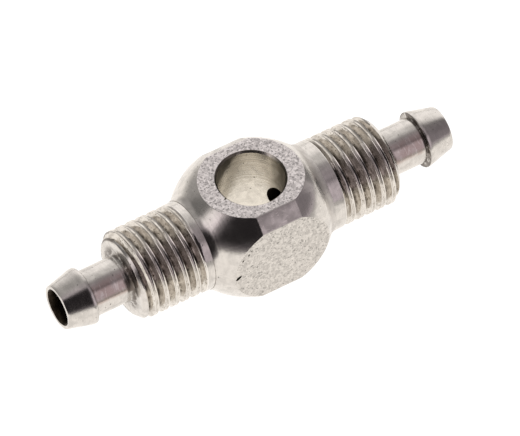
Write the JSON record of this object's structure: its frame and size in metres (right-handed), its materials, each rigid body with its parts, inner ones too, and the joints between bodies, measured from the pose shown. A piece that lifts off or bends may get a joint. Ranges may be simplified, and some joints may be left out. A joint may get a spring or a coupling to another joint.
{
  "type": "double banjo ring fitting with two hose stems",
  "caption": "Ball-shaped steel banjo ring with a cross bore for a hollow bolt and two opposite threaded stems, each ending in a shank and hose barb.",
  "frame": {"origin": "centre of the banjo bolt bore, halfway between the two seal faces", "axes": "+X along the two stems towards the right stem's tip, +Z along the banjo bolt bore, +Y towards the rear flat"},
  "size_m": [0.0374, 0.01, 0.01],
  "materials": {
    "ring_steel": "stainless steel: turned and satin on the ball and facets, finely pitted on the four flats",
    "stem_steel": "turned bright stainless steel"
  },
  "bodies": {
    "root": {"banjo_ring": "ring_steel", "left_hose_stem": "stem_steel", "right_hose_stem": "stem_steel"}
  },
  "joints": []
}
